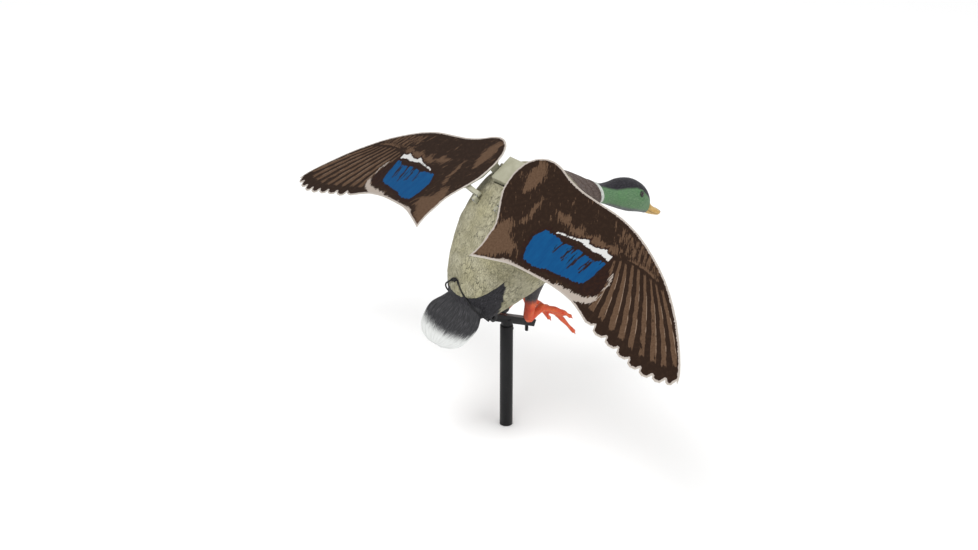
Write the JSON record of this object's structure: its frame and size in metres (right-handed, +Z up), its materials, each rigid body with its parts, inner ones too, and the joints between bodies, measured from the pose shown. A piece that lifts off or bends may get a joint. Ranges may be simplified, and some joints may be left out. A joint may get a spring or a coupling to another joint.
{
  "type": "motion wing decoy",
  "caption": "Landing duck decoy whose printed wings flap on a geared crank drive, tilted by a hinged bar on a stake pole.",
  "frame": {"origin": "centre of the stake pole's lower end", "axes": "+Z up along the pole, +Y the way the bird heads, +X towards the bird's right wing"},
  "size_m": [0.9822, 0.4848, 0.4896],
  "materials": {
    "black_steel": "satin black powder coat",
    "bright_steel": "zinc plated",
    "body_shell": "moulded feather texture, matte paint",
    "elastic": "woven elastic",
    "head_paint": "satin paint",
    "eye": "high gloss",
    "leg_paint": "satin paint",
    "black_plastic": "fine texture",
    "housing_plastic": "smooth moulded",
    "hub_plastic": "smooth moulded",
    "wing_print": "printed stiff fabric with a die-cut border",
    "natural_plastic": "unpainted nylon",
    "battery_case": "heat-shrink sleeve",
    "circuit_board": "solder mask"
  },
  "bodies": {
    "stand": {"pole_tube": "black_steel", "mount_bar": "black_steel", "bar_bolt": "black_steel"},
    "button": {"snap_button": "bright_steel"},
    "decoy": {"lower_body": "body_shell", "back_cover": "body_shell", "elastic_cord": "elastic", "cord_knot": "elastic", "head": "head_paint", "eye_right": "eye", "eye_left": "eye", "leg_right": "leg_paint", "leg_left": "leg_paint", "tilt_clevis": "black_plastic", "tilt_pin": "bright_steel", "tilt_stud": "bright_steel", "flapper_housing": "housing_plastic", "charge_port": "black_plastic", "front_pin_right": "bright_steel", "front_pin_left": "bright_steel", "rear_pin_right": "bright_steel", "rear_pin_left": "bright_steel", "rear_lug_right": "housing_plastic", "rear_lug_left": "housing_plastic", "chassis_frame": "natural_plastic", "drive_motor": "bright_steel", "battery_tray": "natural_plastic", "battery_pack": "battery_case", "control_board": "circuit_board"},
    "knob": {"tilt_knob": "black_plastic"},
    "rocker": {"switch_rocker": "black_plastic"},
    "wing_right": {"wing_lever_right": "hub_plastic", "wing_panel_right": "wing_print", "wing_clip_right": "hub_plastic", "front_spar_right": "black_steel", "rear_spar_right": "black_steel"},
    "wing_left": {"wing_lever_left": "hub_plastic", "wing_panel_left": "wing_print", "wing_clip_left": "hub_plastic", "front_spar_left": "black_steel", "rear_spar_left": "black_steel"},
    "yoke": {"drive_yoke": "natural_plastic"},
    "crank": {"crank_gear": "natural_plastic"},
    "pinion": {"motor_pinion": "bright_steel"}
  },
  "joints": [
    {"name": "body_tilt", "type": "hinge", "parent": "stand", "child": "decoy", "pos_m": [0, -0.0353, 0.2144], "axis": [1, 0, 0], "range_deg": [-0.5, 12]},
    {"name": "snap_button_press", "type": "slide", "parent": "stand", "child": "button", "axis": [0, -1, 0], "range_m": [0, 0.004], "stiffness_N_per_m": 1200, "springref_m": -0.004},
    {"name": "tilt_knob_turn", "type": "hinge", "parent": "decoy", "child": "knob", "pos_m": [0, -0.00565, 0.21917], "axis": [0, 0.3532, -0.9355], "continuous": true},
    {"name": "switch_rocker_tip", "type": "hinge", "parent": "decoy", "child": "rocker", "pos_m": [0.0158, -0.0069, 0.4404], "axis": [1, 0, 0], "range_deg": [-8, 8]},
    {"name": "wing_right_flap", "type": "hinge", "parent": "decoy", "child": "wing_right", "pos_m": [0.028, 0.0049, 0.4488], "axis": [0, -0.8339, -0.5519], "range_deg": [-25, 25]},
    {"name": "wing_left_flap", "type": "hinge", "parent": "decoy", "child": "wing_left", "pos_m": [-0.028, 0.0049, 0.4488], "axis": [0, 0.8339, 0.5519], "range_deg": [-25.01, 25.01]},
    {"name": "yoke_slide", "type": "slide", "parent": "decoy", "child": "yoke", "axis": [0, -0.5519, 0.8339], "range_m": [-0.00593, 0.00593]},
    {"name": "crank_spin", "type": "hinge", "parent": "decoy", "child": "crank", "pos_m": [0, 0.03626, 0.4132], "axis": [0, 0.8339, 0.5519], "range_deg": [-90.01, 90.01]},
    {"name": "pinion_spin", "type": "hinge", "parent": "decoy", "child": "pinion", "pos_m": [0, 0.05144, 0.39026], "axis": [0, 0.8339, 0.5519], "range_deg": [-240.01, 240.01]}
  ],
  "couplings": [
    {"joint": "wing_left_flap", "follows": "wing_right_flap", "ratio": 1},
    {"joint": "yoke_slide", "follows": "wing_right_flap", "m_per_rad": -0.01356},
    {"joint": "crank_spin", "follows": "wing_right_flap", "ratio": 3.6},
    {"joint": "pinion_spin", "follows": "wing_right_flap", "ratio": -9.6}
  ]
}
